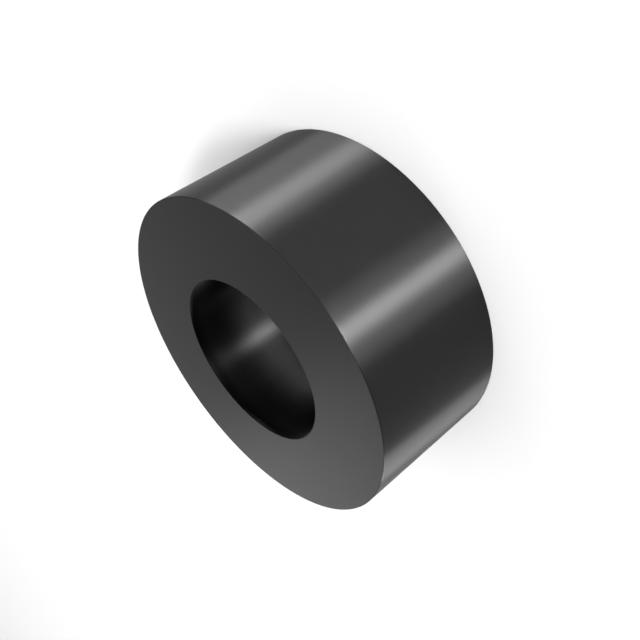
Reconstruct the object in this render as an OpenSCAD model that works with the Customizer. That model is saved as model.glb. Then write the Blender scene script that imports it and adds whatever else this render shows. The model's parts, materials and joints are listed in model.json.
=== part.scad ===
// Plain round spacer sleeve, turned from steel bar. A screw passes through its bore,
// and its two flat end faces keep what is clamped against them a fixed distance apart.
// It stands on one end face, with its axis along Z and the origin at the middle of that face.

/* [Sleeve] */
// Outside diameter
outside_d = 16; // [14:0.5:40]
// Length over the two end faces, which is the gap that the sleeve keeps
sleeve_l = 7; // [2:0.5:60]

/* [Bore] */
// Thread diameter of the screw that passes through
screw_d = 8; // [2:0.5:10]
// Clearance on that diameter, so that the screw slides through freely
screw_clearance = 0.2; // [0.1:0.1:1]

/* [Edges] */
// Leg of the 45 degree edge break round the outside of each end face
rim_break = 0.05; // [0.02:0.01:0.5]
// Leg of the 45 degree edge break round each mouth of the bore
mouth_break = 0.05; // [0.02:0.01:0.5]

/* [Hidden] */
outside_r = outside_d / 2;
bore_r = (screw_d + screw_clearance) / 2;
turned_fn = 180;

// Section through the wall on one side of the axis, with radius along X and height along Y.
module wall_section() {
    polygon([
        [bore_r + mouth_break, 0],
        [outside_r - rim_break, 0],
        [outside_r, rim_break],
        [outside_r, sleeve_l - rim_break],
        [outside_r - rim_break, sleeve_l],
        [bore_r + mouth_break, sleeve_l],
        [bore_r, sleeve_l - mouth_break],
        [bore_r, mouth_break]
    ]);
}

// The whole sleeve: its wall section turned once about the axis.
module spacer_sleeve() {
    color("#343434")
        rotate_extrude($fn = turned_fn)
            wall_section();
}

spacer_sleeve();
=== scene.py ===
# Looks of a plain turned spacer sleeve that stands on one end face. Metres, with +Z up.
import json
import math

import bmesh
import bpy
from mathutils import Matrix, Vector


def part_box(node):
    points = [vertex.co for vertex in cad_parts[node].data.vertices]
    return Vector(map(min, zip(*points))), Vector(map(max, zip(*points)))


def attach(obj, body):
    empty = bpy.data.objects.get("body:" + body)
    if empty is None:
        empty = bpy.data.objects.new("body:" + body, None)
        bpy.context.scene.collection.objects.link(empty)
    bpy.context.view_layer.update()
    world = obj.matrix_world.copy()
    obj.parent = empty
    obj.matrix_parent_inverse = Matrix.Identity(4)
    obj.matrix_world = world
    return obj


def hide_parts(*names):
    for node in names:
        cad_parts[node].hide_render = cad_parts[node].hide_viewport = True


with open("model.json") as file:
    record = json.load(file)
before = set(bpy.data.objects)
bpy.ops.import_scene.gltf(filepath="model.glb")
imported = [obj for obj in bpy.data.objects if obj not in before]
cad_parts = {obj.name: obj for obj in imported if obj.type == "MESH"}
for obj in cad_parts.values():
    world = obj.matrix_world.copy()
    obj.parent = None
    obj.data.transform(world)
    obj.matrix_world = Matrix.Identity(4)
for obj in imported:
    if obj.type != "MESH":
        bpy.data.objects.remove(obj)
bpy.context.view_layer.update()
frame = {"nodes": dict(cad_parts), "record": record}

scene = bpy.context.scene
scene.view_settings.view_transform = "Standard"
print("frame loaded:", sorted(frame["nodes"]))


def aroundSleeve(azimuth, elevation):  # 0 degrees of azimuth is the camera's side
    turn = math.radians(azimuth)
    rise = math.radians(elevation)
    level = math.cos(rise)
    return Vector((math.sin(turn) * level, -math.cos(turn) * level, math.sin(rise)))


# Camera
cameraView = {
    "sensorWidth": 36.0,  # mm
    "lens": 48.32,  # mm
    "nearest": 0.001,
    "farthest": 20.0,
    "lookDown": 30.0,  # degrees below the horizon
    "roll": -125.264,  # degrees, because the photo shows the sleeve tipped over on its side
    "place": (-0.000297, -0.034761, 0.022903),
}


def addCamera(view):
    camera = bpy.data.objects.new("viewCamera", bpy.data.cameras.new("viewCamera"))
    scene.collection.objects.link(camera)
    camera.data.sensor_width = view["sensorWidth"]
    camera.data.lens = view["lens"]
    camera.data.clip_start = view["nearest"]
    camera.data.clip_end = view["farthest"]
    camera.data.dof.use_dof = False
    tilt = Matrix.Rotation(math.radians(90.0 - view["lookDown"]), 4, "X")
    roll = Matrix.Rotation(math.radians(view["roll"]), 4, "Z")
    camera.matrix_world = Matrix.Translation(view["place"]) @ tilt @ roll
    scene.camera = camera


addCamera(cameraView)
print("camera placed")


# Sleeve
bore = next(m for m in frame["record"]["mounts"] if m["name"] == "screw_bore")
lowCorner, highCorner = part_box("spacer_sleeve")
sleeveShape = {
    "outsideRadius": highCorner.x,
    "boreRadius": bore["dims"]["r_mm"] / 1000,
    "length": highCorner.z - lowCorner.z,
    "edgeRound": 0.00003,
    "edgeSteps": 3,
    "edgeMargin": 0.00004,  # keeps the flats' shading flat beside the rounded edges
    "turnSteps": 256,
    "mergeWithin": 1e-7,
    "sharpAngle": 60.0,  # degrees, past which an edge is one of the four rims
    "flatWithin": 0.001,  # how far a normal may lean on a flat end or a straight wall
}
finishSlots = {"wall": 0, "end": 1, "bore": 2}


def flatZones(bm, lean):
    zones = {"outside": [], "bore": [], "top": [], "bottom": []}
    for face in bm.faces:
        centre = face.calc_center_median()
        outward = face.normal.x * centre.x + face.normal.y * centre.y
        if face.normal.z > 1 - lean:
            zones["top"].append(face)
        elif face.normal.z < lean - 1:
            zones["bottom"].append(face)
        elif abs(face.normal.z) < lean:
            zones["outside" if outward > 0 else "bore"].append(face)
    return zones


def makeSleeve(shape):
    bm = bmesh.new()
    low = 0.0
    high = shape["length"]
    corners = [
        (shape["boreRadius"], low),
        (shape["outsideRadius"], low),
        (shape["outsideRadius"], high),
        (shape["boreRadius"], high),
    ]
    section = [bm.verts.new((radius, 0.0, height)) for radius, height in corners]
    outline = [bm.edges.new((section[i - 1], section[i])) for i in range(len(section))]
    bmesh.ops.spin(
        bm,
        geom=section + outline,
        cent=(0, 0, 0),
        axis=(0, 0, 1),
        angle=math.tau,
        steps=shape["turnSteps"],
        use_merge=True,
    )
    bmesh.ops.remove_doubles(bm, verts=bm.verts, dist=shape["mergeWithin"])
    bmesh.ops.recalc_face_normals(bm, faces=bm.faces)
    sharp = math.radians(shape["sharpAngle"])
    rims = [edge for edge in bm.edges if edge.calc_face_angle(0.0) > sharp]
    bmesh.ops.bevel(
        bm,
        geom=rims,
        offset=shape["edgeRound"],
        offset_type="OFFSET",
        segments=shape["edgeSteps"],
        profile=0.5,
        affect="EDGES",
        material=-1,
    )
    for faces in flatZones(bm, shape["flatWithin"]).values():
        bmesh.ops.inset_region(
            bm,
            faces=faces,
            thickness=shape["edgeMargin"],
            use_boundary=True,
            use_even_offset=True,
        )
    bmesh.ops.recalc_face_normals(bm, faces=bm.faces)
    wallMiddle = (shape["boreRadius"] + shape["outsideRadius"]) / 2
    for face in bm.faces:
        face.smooth = True
        centre = face.calc_center_median()
        if math.hypot(centre.x, centre.y) < wallMiddle:
            face.material_index = finishSlots["bore"]
    ends = flatZones(bm, shape["flatWithin"])
    for face in ends["top"] + ends["bottom"]:
        face.material_index = finishSlots["end"]
    mesh = bpy.data.meshes.new("turnedSleeve")
    bm.to_mesh(mesh)
    bm.free()
    sleeve = bpy.data.objects.new("turnedSleeve", mesh)
    scene.collection.objects.link(sleeve)
    return sleeve


sleeve = makeSleeve(sleeveShape)
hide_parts("spacer_sleeve")
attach(sleeve, "root")
print("sleeve made:", len(sleeve.data.polygons), "faces")


# Finish
def newGroup(name, inputs, outputs):
    group = bpy.data.node_groups.new(name, "ShaderNodeTree")
    for socketName in inputs:
        group.interface.new_socket(socketName, in_out="INPUT", socket_type="NodeSocketFloat")
    for socketName in outputs:
        group.interface.new_socket(socketName, in_out="OUTPUT", socket_type="NodeSocketFloat")
    return group, group.nodes.new("NodeGroupInput"), group.nodes.new("NodeGroupOutput")


def mathNode(tree, operation, first, second=0.0):
    node = tree.nodes.new("ShaderNodeMath")
    node.operation = operation
    for socket, value in zip(node.inputs, (first, second)):
        if isinstance(value, bpy.types.NodeSocket):
            tree.links.new(value, socket)
        else:
            socket.default_value = value
    return node.outputs["Value"]


def noiseNode(tree, vector, scale, detail):
    noise = tree.nodes.new("ShaderNodeTexNoise")
    noise.inputs["Scale"].default_value = scale
    noise.inputs["Detail"].default_value = detail
    tree.links.new(vector, noise.inputs["Vector"])
    return noise.outputs["Fac"]


def rangeNode(tree, value, fromLow, fromHigh, toLow, toHigh):
    node = tree.nodes.new("ShaderNodeMapRange")
    tree.links.new(value, node.inputs["Value"])
    node.inputs["From Min"].default_value = fromLow
    node.inputs["From Max"].default_value = fromHigh
    node.inputs["To Min"].default_value = toLow
    node.inputs["To Max"].default_value = toHigh
    return node.outputs["Result"]


markLook = {
    "roundScale": 220.0,  # scratches are long round the axis and short along the section
    "scratchDetail": 2.0,
    "scratchShare": 0.6,
    "ridgeShare": 0.4,
    "mottleScale": 700.0,
    "mottleDetail": 3.0,
    "marksRange": (0.2, 0.8),
    "toneRange": (0.6, 1.4),
    "grainTurn": 0.25,  # a quarter turn, which draws highlights out along the axis
}


# Tool marks run round the axis. They are counted along the section: by radius on an end, by height on a wall.
def turningMarksGroup(look):
    group, given, result = newGroup("turningMarks", ["Pitch", "Drift"], ["Marks", "Mottle"])
    coords = group.nodes.new("ShaderNodeTexCoord").outputs["Object"]
    split = group.nodes.new("ShaderNodeSeparateXYZ")
    group.links.new(coords, split.inputs["Vector"])
    x = split.outputs["X"]
    y = split.outputs["Y"]
    squares = mathNode(group, "ADD", mathNode(group, "MULTIPLY", x, x), mathNode(group, "MULTIPLY", y, y))
    along = mathNode(group, "ADD", mathNode(group, "SQRT", squares), split.outputs["Z"])
    turns = mathNode(group, "DIVIDE", along, given.outputs["Pitch"])
    stretched = group.nodes.new("ShaderNodeCombineXYZ")
    group.links.new(mathNode(group, "MULTIPLY", x, look["roundScale"]), stretched.inputs["X"])
    group.links.new(mathNode(group, "MULTIPLY", y, look["roundScale"]), stretched.inputs["Y"])
    group.links.new(turns, stretched.inputs["Z"])
    scratches = noiseNode(group, stretched.outputs["Vector"], 1.0, look["scratchDetail"])
    wander = mathNode(group, "MULTIPLY", scratches, given.outputs["Drift"])
    phase = mathNode(group, "MULTIPLY", mathNode(group, "ADD", turns, wander), math.tau)
    ridges = rangeNode(group, mathNode(group, "SINE", phase), -1.0, 1.0, 0.0, look["ridgeShare"])
    scored = mathNode(group, "MULTIPLY", scratches, look["scratchShare"])
    group.links.new(mathNode(group, "ADD", ridges, scored), result.inputs["Marks"])
    mottle = noiseNode(group, coords, look["mottleScale"], look["mottleDetail"])
    group.links.new(mottle, result.inputs["Mottle"])
    return group


turningMarks = turningMarksGroup(markLook)

wallFinish = {
    "name": "turnedBlackSteel",
    "darkGrey": 0.031,
    "lightGrey": 0.034,
    "roughness": 0.38,
    "roughnessSpread": 0.02,
    "edgeTint": 0.8,
    "anisotropy": 1.0,
    "pitch": 0.00012,
    "drift": 0.5,
    "markDepth": 0.0000004,
}
boreFinishAndPaintedLight = {
    "name": "boredBlackSteelPaintedLight",
    # Painted highlight: the bore's grey is far lighter than the black wall's, so its middle shows a bright
    # painted reflection
    "darkGrey": 0.185,
    "lightGrey": 0.2,
    "roughness": 0.36,
    "roughnessSpread": 0.02,
    "edgeTint": 1.0,
    "anisotropy": 1.0,
    "pitch": 0.00016,
    "drift": 0.5,
    "markDepth": 0.0000004,
    "mouthPaintedShade": 0.1,  # painted shade: the share of the grey that is left near the mouths
    "paintedShadeCurve": 9.0,
    "rimPaintedShade": 0.2,  # and how much of that share is left at the very rim, painted shade that dims the rim's glints
    "rimDepth": 0.35,  # 0 is a mouth, 1 half way down
    "mouthRoughness": 0.35,  # added at the mouths
}
endFinish = {
    "name": "facedBlackSteel",
    "darkGrey": 0.032,
    "lightGrey": 0.035,
    "roughness": 0.32,
    "roughnessSpread": 0.015,
    "edgeTint": 1.0,
    "anisotropy": 0.0,
    "pitch": 0.00014,
    "drift": 0.8,
    "markDepth": 0.0000004,
}


def boreDepth(tree):  # 0 at both mouths and 1 half way down the bore
    split = tree.nodes.new("ShaderNodeSeparateXYZ")
    tree.links.new(tree.nodes.new("ShaderNodeTexCoord").outputs["Object"], split.inputs["Vector"])
    middle = sleeveShape["length"] / 2
    nearness = mathNode(tree, "DIVIDE", mathNode(tree, "SUBTRACT", split.outputs["Z"], middle), middle)
    return mathNode(tree, "SUBTRACT", 1.0, mathNode(tree, "MULTIPLY", nearness, nearness))


def paintedBoreShade(tree, finish, depth):  # painted shade: the bore's grey is darker at the mouths and darker still at their rims
    deep = mathNode(tree, "POWER", depth, finish["paintedShadeCurve"])
    shade = rangeNode(tree, deep, 0.0, 1.0, finish["mouthPaintedShade"], 1.0)
    rim = rangeNode(tree, depth, 0.0, finish["rimDepth"], finish["rimPaintedShade"], 1.0)
    return mathNode(tree, "MULTIPLY", shade, rim)


def steelMaterial(finish):
    material = bpy.data.materials.new(finish["name"])
    material.use_nodes = True
    tree = material.node_tree
    shader = tree.nodes["Principled BSDF"]
    shader.inputs["Metallic"].default_value = 1.0
    shader.inputs["Specular Tint"].default_value = (*[finish["edgeTint"]] * 3, 1)
    marks = tree.nodes.new("ShaderNodeGroup")
    marks.node_tree = turningMarks
    marks.inputs["Pitch"].default_value = finish["pitch"]
    marks.inputs["Drift"].default_value = finish["drift"]
    tone = mathNode(tree, "ADD", marks.outputs["Mottle"], marks.outputs["Marks"])
    grey = rangeNode(tree, tone, *markLook["toneRange"], finish["darkGrey"], finish["lightGrey"])
    smooth = finish["roughness"] - finish["roughnessSpread"]
    rough = finish["roughness"] + finish["roughnessSpread"]
    roughness = rangeNode(tree, marks.outputs["Marks"], *markLook["marksRange"], smooth, rough)
    if "mouthPaintedShade" in finish:
        # Painted shade: the bore's grey is darkened towards both mouths, so that only its middle shows a
        # bright streak
        depth = boreDepth(tree)
        grey = mathNode(tree, "MULTIPLY", grey, paintedBoreShade(tree, finish, depth))
        mouthRoughness = rangeNode(tree, depth, 0.0, 1.0, finish["mouthRoughness"], 0.0)
        roughness = mathNode(tree, "ADD", roughness, mouthRoughness)
    tree.links.new(grey, shader.inputs["Base Color"])
    tree.links.new(roughness, shader.inputs["Roughness"])
    bump = tree.nodes.new("ShaderNodeBump")
    bump.inputs["Distance"].default_value = finish["markDepth"]
    tree.links.new(marks.outputs["Marks"], bump.inputs["Height"])
    tree.links.new(bump.outputs["Normal"], shader.inputs["Normal"])
    if finish["anisotropy"]:
        shader.inputs["Anisotropic"].default_value = finish["anisotropy"]
        shader.inputs["Anisotropic Rotation"].default_value = markLook["grainTurn"]
        tangent = tree.nodes.new("ShaderNodeTangent")
        tangent.direction_type = "RADIAL"
        tangent.axis = "Z"
        tree.links.new(tangent.outputs["Tangent"], shader.inputs["Tangent"])
    return material


for finish in (wallFinish, endFinish, boreFinishAndPaintedLight):  # in the order of finishSlots
    sleeve.data.materials.append(steelMaterial(finish))
print("finishes made:", [material.name for material in sleeve.data.materials])


# Floor
floorLook = {"radius": 0.75, "sides": 64, "white": 0.93}


def addFloor(look):
    bm = bmesh.new()
    bmesh.ops.create_circle(bm, cap_ends=True, segments=look["sides"], radius=look["radius"])
    mesh = bpy.data.meshes.new("paleFloor")
    bm.to_mesh(mesh)
    bm.free()
    floor = bpy.data.objects.new("paleFloor", mesh)
    scene.collection.objects.link(floor)
    material = bpy.data.materials.new("paleFloor")
    material.use_nodes = True
    shader = material.node_tree.nodes["Principled BSDF"]
    shader.inputs["Base Color"].default_value = (*[look["white"]] * 3, 1)
    shader.inputs["Roughness"].default_value = 1.0
    shader.inputs["Specular IOR Level"].default_value = 0.0
    floor.data.materials.append(material)


addFloor(floorLook)

# Studio
studio = {
    "distance": 0.8,  # of every lamp from the sleeve
    "worldGrey": 0.45,
    "horizonWhite": 1.0,
    "horizonTop": 6.0,  # degrees up to which the world is white, and where it has turned grey
    "greyFrom": 10.0,
    # Places and sizes are in degrees, seen from the sleeve.
    "lamps": [
        {"name": "frontStrip", "azimuth": -18, "elevation": 1.2, "width": 10, "height": 2, "radiance": 710},
        {"name": "frontWing", "azimuth": -30, "elevation": 1.2, "width": 16, "height": 2, "radiance": 95},
        {"name": "frontPanel", "azimuth": -8, "elevation": 1.2, "width": 18, "height": 2, "radiance": 100},
        {"name": "sideWing", "azimuth": 27, "elevation": 1.2, "width": 54, "height": 2, "radiance": 25},
        {"name": "rightStrip", "azimuth": 70, "elevation": 1.2, "width": 14, "height": 2, "radiance": 345},
        {"name": "rightPanel", "azimuth": 77, "elevation": 1.2, "width": 46, "height": 2, "radiance": 165},
        {"name": "leftStrip", "azimuth": -111, "elevation": 1.2, "width": 20, "height": 2, "radiance": 190},
        {"name": "frontFill", "azimuth": 8, "elevation": 12, "width": 60, "height": 10, "radiance": 1.5},
        {"name": "lowKey", "azimuth": -12, "elevation": 19, "width": 9, "height": 8, "radiance": 2},
        {"name": "midKey", "azimuth": -21, "elevation": 40, "width": 9, "height": 10, "radiance": 24},
        {"name": "highKey", "azimuth": -30, "elevation": 52, "width": 9, "height": 10, "radiance": 34},
        {"name": "sideKey", "azimuth": -108, "elevation": 35, "width": 12, "height": 12, "radiance": 2},
        {"name": "rearPanel", "azimuth": -160, "elevation": 25, "width": 30, "height": 20, "radiance": 1.1},
        {"name": "backPanel", "azimuth": 140, "elevation": 50, "width": 50, "height": 20, "radiance": 1.0},
        {"name": "overhead", "azimuth": 0, "elevation": 82, "width": 40, "height": 40, "radiance": 1.0},
    ],
}


def addLamp(lamp):
    data = bpy.data.lights.new(lamp["name"], "AREA")
    data.shape = "RECTANGLE"
    reach = studio["distance"]
    data.size = 2 * reach * math.tan(math.radians(lamp["width"] / 2))
    data.size_y = 2 * reach * math.tan(math.radians(lamp["height"] / 2))
    data.energy = lamp["radiance"] * math.pi * data.size * data.size_y
    lampObject = bpy.data.objects.new(lamp["name"], data)
    scene.collection.objects.link(lampObject)
    lampObject.visible_camera = False
    towards = aroundSleeve(lamp["azimuth"], lamp["elevation"])
    lampObject.location = towards * reach
    lampObject.rotation_euler = towards.to_track_quat("Z", "Y").to_euler()


def addWorld(look):
    world = bpy.data.worlds.new("softWorld")
    scene.world = world
    world.use_nodes = True
    tree = world.node_tree
    split = tree.nodes.new("ShaderNodeSeparateXYZ")
    tree.links.new(tree.nodes.new("ShaderNodeTexCoord").outputs["Generated"], split.inputs["Vector"])
    whiteTop = math.sin(math.radians(look["horizonTop"]))
    greyFrom = math.sin(math.radians(look["greyFrom"]))
    grey = rangeNode(tree, split.outputs["Z"], whiteTop, greyFrom, look["horizonWhite"], look["worldGrey"])
    tree.links.new(grey, tree.nodes["Background"].inputs["Color"])


for lamp in studio["lamps"]:
    addLamp(lamp)
addWorld(studio)
print("studio lit:", len(studio["lamps"]), "lamps")
